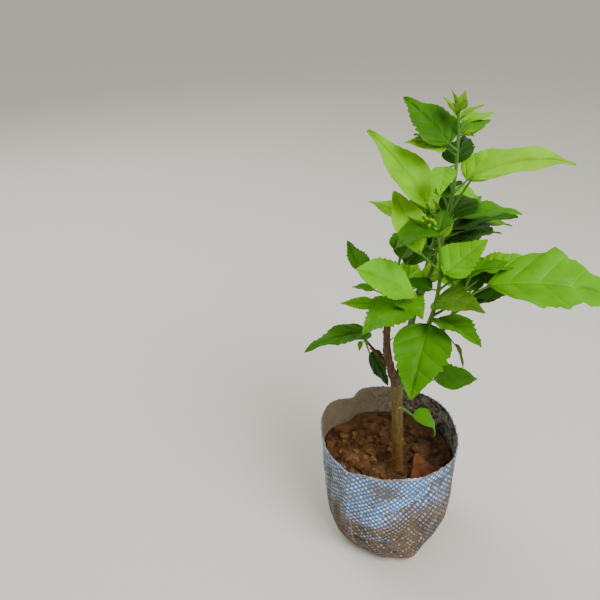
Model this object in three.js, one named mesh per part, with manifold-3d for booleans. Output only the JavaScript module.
// A young hibiscus shrub in a woven grow bag, in millimetres, +Z up.
// The origin is the middle of the bag's flat underside. +X is to the right and +Y to the back
// of the side on which the shrub shows best.
import * as THREE from "three";
import { ParametricGeometry } from "three/addons/geometries/ParametricGeometry.js";
import { mergeVertices } from "three/addons/utils/BufferGeometryUtils.js";
import Module from "manifold-3d";

const wasm = await Module();
wasm.setup();

// Clear air between two neighbouring solids.
const GAP = 0.3;

// The bag: woven sheet, oval at the rim, nearly round at its foot, leaning a little to the left.
const BAG = {
  rimHeight: 155, // mean height of the cut rim
  rimRise: 9.5, // the rim is this much higher at the back and lower at the front
  rimHalfWidth: 80,
  rimHalfDepth: 67,
  lean: [-12, 4], // the rim's middle, from the origin
  squareness: 2.35, // 2 is an ellipse, more is squarer
  wall: 1.6,
  turnShare: 0.2, // below this share of the height the sheet turns under
};
// Half width of the bag at a height: shares of the rim's height and of the rim's half width.
const BAG_BELLY = [[0, 0.69], [0.025, 0.8], [0.09, 0.9], [0.25, 0.965], [0.5, 0.995], [1, 1]];
// Folds pressed into the sheet: from and to as [azimuth, share of the height], depth and half
// width. A negative depth pushes the sheet out.
const BAG_FOLDS = [
  { from: [228, 1], to: [227, 0.2], depth: -4, half: 7 }, // the side seam, where the sheet turns
  { from: [129, 1], to: [133, 0.55], depth: 12, half: 16 }, // the dent at the back left
  { from: [315, 0], to: [315, 0.5], depth: 15, half: 50 }, // the foot is drawn in at the right
  { from: [232, 0], to: [232, 0.25], depth: 9, half: 35 }, // and at the left
  { from: [286, 0], to: [286, 0.2], depth: -6, half: 17 }, // the corner that shows in front
  { from: [322, 0.84], to: [262, 0.6], depth: 3.4, half: 6 },
  { from: [306, 0.6], to: [268, 0.37], depth: 3, half: 7 },
  { from: [24, 0.9], to: [60, 0.35], depth: 3, half: 8 },
];
const FOLD_FADE = 0.6; // a fold is this much shallower at its far end
const BAG_COLUMNS = 36;
// Shares of the height at which the bag's sheet has a ring.
const BAG_RINGS = [0.025, 0.09, 0.2, 0.35, 0.52, 0.7, 0.86, 1];

// The soil fills the bag to three quarters of its height, lumpy, with two level seats in it.
const SOIL = { top: 115, edge: 0.75, lump: 2.6, seatBlend: 8, rings: 7 };
// The lumps are a sum of waves: size, length along X and along Y, and where it starts.
const SOIL_WAVES = [[1, 7, 21, 1], [0.8, 12, 5.5, 0], [0.6, 4.4, -8, 1.6], [0.5, -9, 6.5, 2.2]];
const TRUNK_FOOT = [-1, -16];
const TRUNK_SEAT = 18;
// The broken corner of brick: low in front and high at its back, and turned about +Z.
const CHIP = { middle: [24, -22], seat: 22, length: 33, width: 27, height: 14, low: 0.3, turn: 14 };

// Woody limbs, each one tapering: where it leaves its carrier, the place of its tip, how far its
// middle bows out, and its radius at both ends.
const LIMBS = {
  trunk: { tip: [-16, -25, 252], bow: [1, 0, 0], radii: [6.6, 5.9] },
  left_bough: { from: "trunk", at: 1, tip: [-31, -30, 338], bow: [-6, 0, 0], radii: [4.6, 3] },
  leader_bough: { from: "trunk", at: 0.93, tip: [-4, -14, 335], bow: [1, 1, 0], radii: [4.4, 3.3] },
  front_bough: { from: "leader_bough", at: 0.4, tip: [7, -36, 336], bow: [3, -3, 0], radii: [3, 2.4] },
  bare_twig: { from: "left_bough", at: 0.25, tip: [-48, -18, 297], bow: [0, 0, -1], radii: [2.2, 1.4] },
  back_bough: { from: "leader_bough", at: 0.22, tip: [8, 28, 332], bow: [0, 6, -8], radii: [3, 2.3] },
  right_bough: { from: "trunk", at: 0.9, tip: [36, 6, 302], bow: [4, 2, -8], radii: [2.8, 2] },
};
// Root flare of the trunk: extra radius at the soil, and the height in which it fades.
const FLARE = { extra: 1, fade: 8, ridges: 3, ridge: 0.07 };

// Leafy shoots, each the stem of one mass of leaves: as the limbs, and how the unseen side is grown:
// leaves along the stem, side twigs, and the azimuth about which both turn, with the free half angle.
const SHOOTS = {
  top_foliage: {
    from: "leader_bough", at: 1, tip: [10, -14, 530], bow: [13, 1, 0], radii: [2.7, 1.1],
    grown: { leaves: 9, twigs: 0, about: 88, half: 54, length: 57 }, rosette: 5,
  },
  front_foliage: {
    from: "front_bough", at: 1, tip: [3, -33, 424], bow: [6, 1, 0], radii: [2.3, 1.2],
    grown: { leaves: 0, twigs: 0, about: 90, half: 0, length: 0 }, rosette: 4,
  },
  left_foliage: {
    from: "left_bough", at: 1, tip: [-26, -24, 396], bow: [1, 0, 0], radii: [2.4, 1],
    grown: { leaves: 7, twigs: 0, about: 76, half: 36, length: 46 }, rosette: 0,
  },
  twig_foliage: {
    from: "bare_twig", at: 1, tip: [-54, -16, 306], bow: [0, 0, 0], radii: [1.4, 1],
    grown: { leaves: 0, twigs: 0, about: 90, half: 0, length: 0 }, rosette: 0,
  },
  sprout_foliage: {
    from: "trunk", at: 0.73, tip: [2, -27, 210], bow: [0, 0, 1], radii: [1.4, 1],
    grown: { leaves: 0, twigs: 0, about: 90, half: 0, length: 0 }, rosette: 0,
  },
  low_foliage: {
    from: "trunk", at: 0.89, tip: [24, -8, 240], bow: [0, 0, 3], radii: [1.8, 1.2],
    grown: { leaves: 0, twigs: 0, about: 90, half: 0, length: 0 }, rosette: 0,
  },
  back_foliage: {
    from: "back_bough", at: 1, tip: [24, 44, 414], bow: [3, 4, 0], radii: [2.3, 1.1],
    grown: { leaves: 9, twigs: 3, about: 48, half: 66, length: 62 }, rosette: 3,
  },
  right_foliage: {
    from: "right_bough", at: 1, tip: [60, 20, 362], bow: [2, 0, 2], radii: [2, 1],
    grown: { leaves: 6, twigs: 2, about: 70, half: 75, length: 56 }, rosette: 3,
  },
};

// Leaves that face the front, from the foot of each shoot upwards: where on the shoot it stands,
// the stalk's azimuth, rise and length, the blade's azimuth, rise, length and width (and how far
// out it is widest, where that isn't the usual), and then the blade's roll about its rib, its
// droop from foot to tip and the fold along its rib.
const LEAVES = {
  top_foliage: [
    [0.09, [172, 10, 15], [76, 28, 45, 24], [0, 20, 10]],
    [0.14, [70, -14, 10], [55, 28, 32, 17], [0, 15, 10]],
    [0.4, [216, 54, 48], [140, 38, 82, 34], [-15, 25, 12]],
    [0.46, [46, 4, 24], [357, 3, 56, 34], [0, 30, 10]],
    [0.5, [285, 61, 49], [354, 10, 82, 24, 0.85], [32, 66, 12]],
    [0.62, [85, 5, 10], [85, -12, 32, 20], [0, 20, 10]],
    [0.74, [233, 10, 24], [250, -40, 27, 17], [0, 25, 10]],
    [0.78, [170, 36, 13], [182, 6, 35, 20], [-25, 20, 8]],
    [0.8, [207, 36, 13], [134, 31, 58, 34], [-20, 20, 8]],
    [0.86, [42, 30, 5], [18, 18, 28, 19], [10, 20, 12]],
  ],
  front_foliage: [
    [0.02, [245, 0, 9], [248, -40, 74, 47, 0.74], [0, 30, 10]],
    [0.03, [312, 23, 7], [305, -2, 52, 37], [-10, 30, 10]],
    [0.04, [347, -45, 38], [318, -64, 26, 5], [0, 20, 20]],
    [0.05, [342, 44, 61], [343, 1, 106, 66, 1], [15, 45, 10]],
    [0.16, [250, 62, 12], [317, 9, 49, 34], [12, 40, 10]],
    [0.36, [348, 51, 15], [357, 11, 65, 38], [-10, 45, 14]],
    [0.36, [182, 14, 6], [158, 4, 29, 22], [0, 30, 10]],
    [0.48, [284, 58, 12], [17, 35, 48, 34], [15, 15, 14]],
    [0.58, [197, 42, 31], [131, 53, 60, 31, 1.1], [-15, 15, 10]],
    [0.95, [225, 50, 14], [205, -15, 40, 30], [0, 60, 10]],
    [0.95, [170, 60, 8], [160, 22, 28, 20], [0, 10, 12]],
    [0.97, [256, 66, 8], [60, 43, 21, 16], [0, 10, 12]],
  ],
  left_foliage: [
    [0.25, [300, 40, 16], [302, -14, 30, 28], [0, 40, 10]],
    [0.2, [165, -5, 18], [165, -8, 32, 11], [-50, 10, 14]],
    [0.3, [290, 12, 22], [213, -15, 50, 40], [0, 36, 10]],
    [0.3, [150, 15, 20], [165, -2, 22, 14], [0, 20, 10]],
    [0.38, [305, 20, 29], [178, 27, 62, 40, 1.4], [-28, 10, 20]],
    [0.5, [168, 25, 35], [125, 42, 32, 20], [0, -40, 25]],
    [0.9, [60, 40, 6], [55, 25, 24, 15], [0, 20, 12]],
    [0.97, [100, 70, 4], [85, 58, 22, 10], [0, 10, 15]],
  ],
  twig_foliage: [
    [0.9, [10, 15, 8], [201, -4, 72, 28], [0, 35, 10]],
    [0.8, [52, -63, 35], [333, -56, 42, 28], [0, 10, 10]],
    [0.2, [211, 20, 8], [232, -77, 11, 5], [0, 10, 10]],
  ],
  sprout_foliage: [[0.95, [330, -40, 6], [345, -42, 35, 27], [-10, 95, 10]]],
  low_foliage: [[0.95, [20, -10, 8], [14, -10, 56, 34], [10, 30, 10]]],
};

// The pale flower bud near the top: its place on the shoot, its stalk, its length and its girth.
const BUD = { at: 0.865, stalk: [345, 18, 5], length: 11, radius: 2.3 };

// Blade of a leaf, as shares of its length and width: side ribs leave the rib from this share of
// the rows on, the rows' teeth stand out by this share, fullness sets how far out the blade is
// widest, and its thickness is even.
const BLADE = {
  rowLength: 15,
  leastRows: 3,
  samples: 8,
  palm: 0.22,
  fullness: 0.62,
  tooth: 0.07,
  thick: 1.1,
};
const STALK = { foot: 1.25, head: 1, overlap: 3.5, sides: 3, bow: 0.35 };
// How near leaf blades may come to another mass's blades, and to a limb's middle line.
const CLEAR = { leaves: 9, limbs: 6 };

// The unseen leaves: turn from one leaf to the next, the stretch of the stem they stand on, and
// the least and most of what the dice set: blade's rise, length and roll, stalk's rise, droop.
const GROWN = {
  turn: 144,
  stretch: [0.12, 0.92],
  sway: 12,
  bladeRise: [-8, 26],
  lengthShare: [0.75, 1.25],
  stalkRise: [20, 45],
  stalkShare: 0.32,
  widthShare: 0.56,
  roll: 15,
  droop: [20, 50],
  fold: 10,
};
// Side twigs: the stretch of the stem they leave, their own size, and the leaves on each.
const TWIG = { stretch: [0.2, 0.75], rise: 38, lengthShare: 0.55, sag: -2, radii: [1.3, 0.9] };
const TWIG_LEAVES = { count: 3, first: 0.45, step: 0.27, fan: 70, lengthShare: 0.8, dice: 20 };
// Young leaves close round a shoot's tip: turn, lengths, rises, and the stretch they stand on.
const ROSETTE = { turn: 137.5, length: [19, 10], rise: [30, 75], stretch: [0.93, 0.995], stalk: [50, 3.5] };

const vec = (list) => new THREE.Vector3(...list);
const rad = THREE.MathUtils.degToRad;
const lerp = THREE.MathUtils.lerp;

// A share from 0 to 1 that is always the same for the same two whole numbers.
function chance(step, shoot) {
  const wave = Math.sin(step * 12.9898 + shoot * 78.233) * 43758.5453;
  return wave - Math.floor(wave);
}

// Unit vector of an azimuth about +Z and a rise above the level.
function direction(azimuth, rise) {
  const level = Math.cos(rad(rise));
  const [cos, sin] = [Math.cos(rad(azimuth)), Math.sin(rad(azimuth))];
  return new THREE.Vector3(level * cos, level * sin, Math.sin(rad(rise)));
}

// A solid from a surface that closes on itself: place(around, along) gives its points.
function solidOf(place, around, along) {
  const surface = new ParametricGeometry((u, v, target) => target.copy(place(u, v)), around, along);
  surface.deleteAttribute("normal");
  surface.deleteAttribute("uv");
  const merged = mergeVertices(surface, 1e-3);
  const corners = merged.index.array;
  const faces = [];
  for (let i = 0; i < corners.length; i += 3) {
    const [a, b, c] = corners.slice(i, i + 3);
    if (a !== b && b !== c && c !== a) faces.push([a, b, c]);
  }
  const made = (turned) =>
    new wasm.Manifold(
      new wasm.Mesh({
        numProp: 3,
        vertProperties: new Float32Array(merged.attributes.position.array),
        triVerts: new Uint32Array(faces.flatMap((face) => (turned ? [...face].reverse() : face))),
      }),
    );
  const solid = made(false);
  return solid.volume() < 0 ? made(true) : solid;
}

// The largest of a solid's loose pieces.
function largestPiece(solid) {
  const pieces = solid.decompose();
  return pieces.reduce((most, piece) => (piece.volume() > most.volume() ? piece : most));
}

// A limb's middle line. A parabola is a Bezier curve with its control point at twice the bow.
function lineOf(limb) {
  const foot = vec(limb.foot);
  const tip = vec(limb.tip);
  const control = foot.clone().lerp(tip, 0.5).addScaledVector(vec(limb.bow), 2);
  return new THREE.QuadraticBezierCurve3(foot, control, tip);
}

// A limb's tapering round solid with flat ends. grow widens and lengthens it on all sides.
function limbSolid(limb, sides, rings, grow = 0, radiusAt = null) {
  const line = lineOf(limb);
  const level = new THREE.Vector3(0, 0, 1);
  const place = (around, along) => {
    const step = Math.round(along * (rings + 2)) - 1;
    const share = THREE.MathUtils.clamp(step / rings, 0, 1);
    const tangent = line.getTangent(share);
    const middle = line.getPoint(share);
    if (grow && share === 1) middle.addScaledVector(tangent, grow);
    if (step < 0 || step > rings) return middle;
    const across = new THREE.Vector3(0, 1, 0).cross(tangent).normalize();
    const upright = tangent.clone().cross(across);
    const angle = (Math.round(around * sides) % sides) * ((2 * Math.PI) / sides);
    const radius = (radiusAt ? radiusAt(share, angle) : lerp(...limb.radii, share)) + grow;
    if (limb.levelFoot && share === 0) {
      across.projectOnPlane(level);
      upright.projectOnPlane(level);
    }
    return middle
      .addScaledVector(across, radius * Math.cos(angle))
      .addScaledVector(upright, radius * Math.sin(angle));
  };
  return solidOf(place, sides, rings + 2);
}

// The trunk's radius, with its root flare in a few soft ridges near the soil.
function trunkRadius(share, angle) {
  const height = share * (LIMBS.trunk.tip[2] - SOIL.top);
  const flare = FLARE.extra * Math.exp(-height / FLARE.fade);
  const ridge = 1 + FLARE.ridge * Math.cos(FLARE.ridges * angle) * Math.exp(-height / FLARE.fade);
  return (lerp(...LIMBS.trunk.radii, share) + flare) * ridge;
}

// Half the width of a blade at a share of its length: rounded foot, fine tip.
function halfWidth(share, width, fullness = BLADE.fullness) {
  if (share <= 0 || share >= 1) return 0;
  const swell = Math.pow(Math.sin(Math.PI * Math.pow(share, fullness)), 0.78);
  return 0.66 * width * swell * (1 - 0.42 * share);
}

// The blade's own directions: along its chord, across to one side, and out of its upper face.
function bladeAxes(leaf) {
  const [azimuth, rise] = leaf.blade;
  const chord = direction(azimuth, rise);
  const side = direction(azimuth + 90, 0).applyAxisAngle(chord, rad(leaf.bend[0]));
  return { chord, side, face: chord.clone().cross(side) };
}

// A point of the blade's middle surface: a share of the way along its chord, and some way across.
function bladeSpot(leaf, share, across) {
  const { chord, side, face } = bladeAxes(leaf);
  const length = leaf.blade[2];
  const [, droop, fold] = leaf.bend;
  const arch = length * Math.tan(rad(droop) / 2) * share * (1 - share);
  return leaf.foot
    .clone()
    .addScaledVector(chord, length * share)
    .addScaledVector(side, across)
    .addScaledVector(face, arch + Math.abs(across) * Math.tan(rad(fold)));
}

// The same by rows that follow the side ribs: row from 0 at the foot to 1 at the tip, and across
// from -1 at one margin through 0 on the rib to 1 at the other.
function bladePoint(leaf, row, across, tooth = 0) {
  const onRib = Math.pow(Math.max(0, (row - BLADE.palm) / (1 - BLADE.palm)), 1.05);
  const onEdge = Math.pow(row, 0.86);
  const [, , , width, fullness] = leaf.blade;
  const reach = halfWidth(onEdge, width, fullness) * (1 + tooth);
  return bladeSpot(leaf, lerp(onRib, onEdge, Math.abs(across)), reach * across);
}

// The blade as a thin solid: its upper face from one margin over the rib to the other, and back below.
function bladeSolid(leaf) {
  const { face } = bladeAxes(leaf);
  const section = [[1, 1], [0, 1], [-1, 1], [-1, -1], [0, -1], [1, -1]];
  const rows = Math.max(BLADE.leastRows, Math.round(leaf.blade[2] / BLADE.rowLength));
  const place = (around, along) => {
    const [across, upper] = section[Math.round(around * section.length) % section.length];
    const row = Math.round(along * rows);
    const tooth = row > 2 && row < rows ? BLADE.tooth * (row % 2 ? -1 : 1) : 0;
    return bladePoint(leaf, row / rows, across, tooth).addScaledVector(face, (upper * BLADE.thick) / 2);
  };
  return solidOf(place, section.length, rows);
}

// The stalk runs from inside the stem to a little way along the blade's rib.
function stalkSolid(leaf) {
  const end = bladeSpot(leaf, STALK.overlap / leaf.blade[2], 0);
  const bow = leaf.foot.clone().sub(leaf.root.clone().lerp(end, 0.5)).multiplyScalar(STALK.bow);
  const line = { foot: leaf.root.toArray(), tip: end.toArray(), bow: bow.toArray() };
  return limbSolid({ ...line, radii: [STALK.foot, STALK.head] }, STALK.sides, 2);
}

// Everything a leaf needs, from its row: root on the stem's middle line, and the foot of its blade.
function leafOn(line, [at, stalk, blade, bend]) {
  const root = line.getPoint(at);
  const foot = root.clone().addScaledVector(direction(stalk[0], stalk[1]), stalk[2]);
  return { root, foot, blade, bend };
}

// Points spread over a blade, by which the room between two leaves is judged.
function samplesOf(leaf) {
  const points = [];
  for (let row = 0; row <= BLADE.samples; row++)
    for (const across of [-1, -0.5, 0, 0.5, 1]) points.push(bladePoint(leaf, row / BLADE.samples, across));
  return points;
}

// Whether a new leaf keeps clear of the other masses' leaves and of all limbs.
function hasRoom(leaf, mass, taken, limbPoints) {
  const own = samplesOf(leaf);
  const near = (points, reach) =>
    points.some((point) => own.some((mine) => mine.distanceTo(point) < reach));
  if (near(limbPoints, CLEAR.limbs)) return false;
  return !taken.some((other) => other.mass !== mass && near(other.samples, CLEAR.leaves));
}

// A leaf of the unseen side, bent a little from the mean leaf by six dice from 0 to 1.
function grownLeaf(at, azimuth, length, dice) {
  const swing = (most, die) => most * (2 * die - 1);
  const long = length * lerp(...GROWN.lengthShare, dice[2]);
  const blade = [azimuth + swing(GROWN.sway, dice[0]), lerp(...GROWN.bladeRise, dice[1]), long];
  const stalk = [azimuth, lerp(...GROWN.stalkRise, dice[3]), GROWN.stalkShare * long];
  const bend = [swing(GROWN.roll, dice[4]), lerp(...GROWN.droop, dice[5]), GROWN.fold];
  return [at, stalk, [...blade, GROWN.widthShare * long], bend];
}

// The leaves and side twigs that the rule adds to a shoot on the side that faces away.
function growUnseen(shoot, number) {
  const { leaves, twigs, about, half, length } = shoot.grown;
  const line = lineOf(shoot);
  const unseen = { rows: [], twigs: [] };
  const dice = (step) => [1, 2, 3, 4, 5, 6].map((side) => chance(10 * step + side, number));
  const turned = (step) => about + half * (((step * GROWN.turn) % 360) / 180 - 1);
  for (let i = 0; i < leaves; i++) {
    const at = lerp(...GROWN.stretch, (i + 0.5) / leaves);
    unseen.rows.push({ line, row: grownLeaf(at, turned(i), length, dice(i)) });
  }
  for (let i = 0; i < twigs; i++) {
    const azimuth = turned(i + 1);
    const foot = line.getPoint(lerp(...TWIG.stretch, i / twigs));
    const tip = foot.clone().addScaledVector(direction(azimuth, TWIG.rise), TWIG.lengthShare * length);
    const twig = { foot: foot.toArray(), tip: tip.toArray(), bow: [0, 0, TWIG.sag], radii: TWIG.radii };
    unseen.twigs.push(twig);
    for (let j = 0; j < TWIG_LEAVES.count; j++) {
      const at = TWIG_LEAVES.first + TWIG_LEAVES.step * j;
      const fanned = azimuth + TWIG_LEAVES.fan * (j - 1);
      const own = dice(TWIG_LEAVES.dice + TWIG_LEAVES.count * i + j);
      const row = grownLeaf(at, fanned, TWIG_LEAVES.lengthShare * length, own);
      unseen.rows.push({ line: lineOf(twig), row });
    }
  }
  return unseen;
}

// The small young leaves that stand close together round a shoot's tip.
function rosetteRows(count, number) {
  return Array.from({ length: count }, (_, i) => {
    const share = i / count;
    const azimuth = ROSETTE.turn * i + 40 * number;
    const length = lerp(...ROSETTE.length, share);
    const blade = [azimuth, lerp(...ROSETTE.rise, share), length, GROWN.widthShare * length];
    return [lerp(...ROSETTE.stretch, share), [azimuth, ...ROSETTE.stalk], blade, [0, 10, 15]];
  });
}

// Half width and half depth of the bag's sheet at a share of its height, and its middle there.
function bagSection(share) {
  const upper = BAG_BELLY.findIndex(([height]) => height >= share);
  const [h1, s1] = BAG_BELLY[Math.max(upper, 1)];
  const [h0, s0] = BAG_BELLY[Math.max(upper, 1) - 1];
  const belly = lerp(s0, s1, (share - h0) / (h1 - h0));
  const depth = lerp(1, BAG.rimHalfDepth / BAG.rimHalfWidth, share);
  return { width: belly * BAG.rimHalfWidth, depth: belly * BAG.rimHalfWidth * depth };
}

// How far the folds draw the sheet in at an azimuth and a share of the height.
function foldDepth(azimuth, share) {
  const round = rad(1) * BAG.rimHalfWidth;
  const swing = (degrees) => ((degrees + 540) % 360) - 180;
  let sum = 0;
  for (const { from, to, depth, half } of BAG_FOLDS) {
    const run = [(to[0] - from[0]) * round, (to[1] - from[1]) * BAG.rimHeight];
    const at = [swing(azimuth - from[0]) * round, (share - from[1]) * BAG.rimHeight];
    const ahead = (at[0] * run[0] + at[1] * run[1]) / (run[0] ** 2 + run[1] ** 2);
    const along = THREE.MathUtils.clamp(ahead, 0, 1);
    const away = Math.hypot(at[0] - along * run[0], at[1] - along * run[1]);
    sum += depth * Math.exp(-((away / half) ** 2)) * (1 - FOLD_FADE * along);
  }
  return sum;
}

// A point of the bag's sheet, drawn in towards its middle by inset.
function bagPoint(azimuth, share, height, inset) {
  const { width, depth } = bagSection(share);
  const cos = Math.cos(rad(azimuth));
  const sin = Math.sin(rad(azimuth));
  const power = BAG.squareness;
  const round = (Math.abs(cos) / width) ** power + (Math.abs(sin) / depth) ** power;
  const radius = round ** (-1 / power) - foldDepth(azimuth, share) - inset;
  return new THREE.Vector3(BAG.lean[0] * share + radius * cos, BAG.lean[1] * share + radius * sin, height);
}

// Height of the cut rim, which is higher at the back.
const rimHeightAt = (azimuth) => BAG.rimHeight + BAG.rimRise * Math.sin(rad(azimuth));

// A point of the sheet's ring at a share: an inner face is also raised near the underside.
function ringPoint(azimuth, share, inset) {
  const lift = inset * Math.max(0, 1 - share / BAG.turnShare);
  return bagPoint(azimuth, share, share * rimHeightAt(azimuth) + lift, inset);
}

// The bag: its sheet out from the middle of the underside, up to the rim, over it, and down inside.
function bagSolid() {
  const outer = BAG_RINGS.map((share) => [share, 0]);
  const inner = BAG_RINGS.map((share) => [share, BAG.wall]).reverse();
  const stations = ["under", [0, 0], ...outer, ...inner, [0, BAG.wall], "floor"];
  const place = (around, along) => {
    const station = stations[Math.round(along * (stations.length - 1))];
    if (station === "under") return vec([0, 0, 0]);
    if (station === "floor") return vec([0, 0, BAG.wall]);
    const azimuth = ((Math.round(around * BAG_COLUMNS) % BAG_COLUMNS) * 360) / BAG_COLUMNS;
    return ringPoint(azimuth, ...station);
  };
  return solidOf(place, BAG_COLUMNS, stations.length - 1);
}

// Height of the soil at a place, some share of the way from the trunk to the edge: it rises or
// falls towards the edge and is lumpy between, but level where the trunk and the brick chip sit.
function soilHeight(x, y, outwards, edgeHeight) {
  const wave = ([size, alongX, alongY, start]) => size * Math.sin(x / alongX + y / alongY + start);
  const waves = SOIL_WAVES.reduce((sum, each) => sum + wave(each), 0);
  const away = (middle, seat) => Math.hypot(x - middle[0], y - middle[1]) - seat;
  const nearest = Math.min(away(TRUNK_FOOT, TRUNK_SEAT), away(CHIP.middle, CHIP.seat));
  const free = THREE.MathUtils.clamp(nearest / SOIL.seatBlend, 0, 1);
  const rise = (edgeHeight - SOIL.top) * outwards ** 2;
  return SOIL.top + free * (rise + SOIL.lump * waves * (1 - outwards ** 4));
}

// The soil: from the middle of its lumpy top out to its edge, and down the bag's wall to the floor.
function soilSolid() {
  const filled = BAG_RINGS.filter((share) => share < SOIL.edge);
  const inset = BAG.wall + GAP;
  const last = SOIL.rings + filled.length + 2;
  const place = (around, along) => {
    const station = Math.round(along * last);
    const azimuth = ((Math.round(around * BAG_COLUMNS) % BAG_COLUMNS) * 360) / BAG_COLUMNS;
    if (station === last) return vec([0, 0, inset]);
    if (station === last - 1) return ringPoint(azimuth, 0, inset);
    if (station > SOIL.rings) return ringPoint(azimuth, filled[last - 2 - station], inset);
    const edge = ringPoint(azimuth, SOIL.edge, inset + 1);
    const outwards = station / SOIL.rings;
    const spot = vec([...TRUNK_FOOT, SOIL.top]).lerp(edge, outwards);
    return spot.setZ(soilHeight(spot.x, spot.y, outwards, edge.z));
  };
  return solidOf(place, BAG_COLUMNS, last);
}

// The broken corner of brick on the soil: a wedge with a blunt triangle for its outline.
function chipSolid() {
  const outline = [[-0.5, -0.4], [-0.1, -0.5], [0.42, -0.46], [0.5, -0.28], [0.12, 0.5], [-0.06, 0.44]];
  const levels = [[0, 0], [0, 1], [0.6, 0.96], [1, 0.8], [1, 0]];
  const place = (around, along) => {
    const [u, v] = outline[Math.round(around * outline.length) % outline.length];
    const [rise, spread] = levels[Math.round(along * (levels.length - 1))];
    const height = CHIP.height * rise * lerp(CHIP.low, 1, v * spread + 0.5);
    return new THREE.Vector3(u * spread * CHIP.length, v * spread * CHIP.width, height)
      .applyAxisAngle(new THREE.Vector3(0, 0, 1), rad(CHIP.turn))
      .add(vec([...CHIP.middle, SOIL.top + GAP]));
  };
  return solidOf(place, outline.length, levels.length - 1);
}

// The flower bud on its short stalk.
function budSolid(line) {
  const root = line.getPoint(BUD.at);
  const out = direction(BUD.stalk[0], BUD.stalk[1]);
  const neck = root.clone().addScaledVector(out, BUD.stalk[2]);
  const end = neck.clone().addScaledVector(out, BUD.length);
  const stalk = { foot: root.toArray(), tip: neck.clone().addScaledVector(out, 2).toArray() };
  const bud = { foot: neck.toArray(), tip: end.toArray(), bow: [0, 0, 0], radii: [1, 1] };
  const girth = (share) => BUD.radius * Math.sin(Math.PI * (0.12 + 0.8 * share));
  return [
    limbSolid({ ...stalk, bow: [0, 0, 0], radii: [1, 1] }, STALK.sides, 1),
    limbSolid(bud, 6, 4, 0, girth),
  ];
}

// Feet of all limbs and shoots, each on its carrier's middle line.
function settleFeet() {
  const all = { ...LIMBS, ...SHOOTS };
  LIMBS.trunk.foot = [...TRUNK_FOOT, SOIL.top + GAP];
  LIMBS.trunk.levelFoot = true;
  for (const limb of Object.values(all))
    if (limb.from) limb.foot = lineOf(all[limb.from]).getPoint(limb.at === 1 ? 0.99 : limb.at).toArray();
}

settleFeet();
const group = new THREE.Group();

// Adds a node: the solid's triangles as a mesh in its own colour.
function addNode(name, solid, colour, roughness) {
  const { vertProperties, triVerts } = solid.getMesh();
  const geometry = new THREE.BufferGeometry();
  geometry.setAttribute("position", new THREE.BufferAttribute(vertProperties, 3));
  geometry.setIndex(new THREE.BufferAttribute(triVerts, 1));
  geometry.computeVertexNormals();
  const surface = new THREE.MeshStandardMaterial({ color: colour, roughness, metalness: 0 });
  const mesh = new THREE.Mesh(geometry, surface);
  mesh.name = name;
  group.add(mesh);
}

addNode("grow_bag", bagSolid(), "#8fa9c9", 0.55);
addNode("soil", soilSolid(), "#5a3a20", 0.95);
addNode("brick_chip", chipSolid(), "#9a4a22", 0.9);

// Limbs, each cut clear of those before it. wider keeps them a gap larger, to cut with.
const BARK = { trunk: "#66562a", left_bough: "#7a3f1e", bare_twig: "#6e4423" };
const GREEN_BARK = "#4f6a22";
const wider = [];
for (const [name, limb] of Object.entries(LIMBS)) {
  const shape = name === "trunk" ? [12, 12] : [8, 6];
  const radius = name === "trunk" ? trunkRadius : null;
  const whole = limbSolid(limb, ...shape, 0, radius);
  const cut = wider.reduce((rest, other) => rest.subtract(other), whole);
  addNode(name, largestPiece(cut), BARK[name] ?? GREEN_BARK, 0.8);
  wider.push(limbSolid(limb, ...shape, GAP, radius));
}

// Leaves: first those that face the front, then the rule's own wherever there is room.
const limbPoints = Object.values(LIMBS).flatMap((limb) => lineOf(limb).getPoints(16));
const taken = [];
const masses = Object.entries(SHOOTS).map(([name, shoot], number) => {
  const line = lineOf(shoot);
  const rows = [...(LEAVES[name] ?? []), ...rosetteRows(shoot.rosette, number)];
  const leaves = rows.map((row) => leafOn(line, row));
  leaves.forEach((leaf) => taken.push({ mass: name, samples: samplesOf(leaf) }));
  return { name, shoot, number, line, leaves };
});
for (const { name, shoot, number, line, leaves } of masses) {
  const unseen = growUnseen(shoot, number);
  for (const { line: twigLine, row } of unseen.rows) {
    const leaf = leafOn(twigLine, row);
    if (!hasRoom(leaf, name, taken, limbPoints)) continue;
    leaves.push(leaf);
    taken.push({ mass: name, samples: samplesOf(leaf) });
  }
  const parts = [limbSolid(shoot, 6, 10), ...unseen.twigs.map((twig) => limbSolid(twig, STALK.sides, 3))];
  for (const leaf of leaves) parts.push(stalkSolid(leaf), bladeSolid(leaf));
  if (name === "top_foliage") parts.push(...budSolid(line));
  const fused = wasm.Manifold.union(parts);
  const cut = wider.reduce((rest, other) => rest.subtract(other), fused);
  addNode(name, largestPiece(cut), "#6da516", 0.5);
}

export default group;
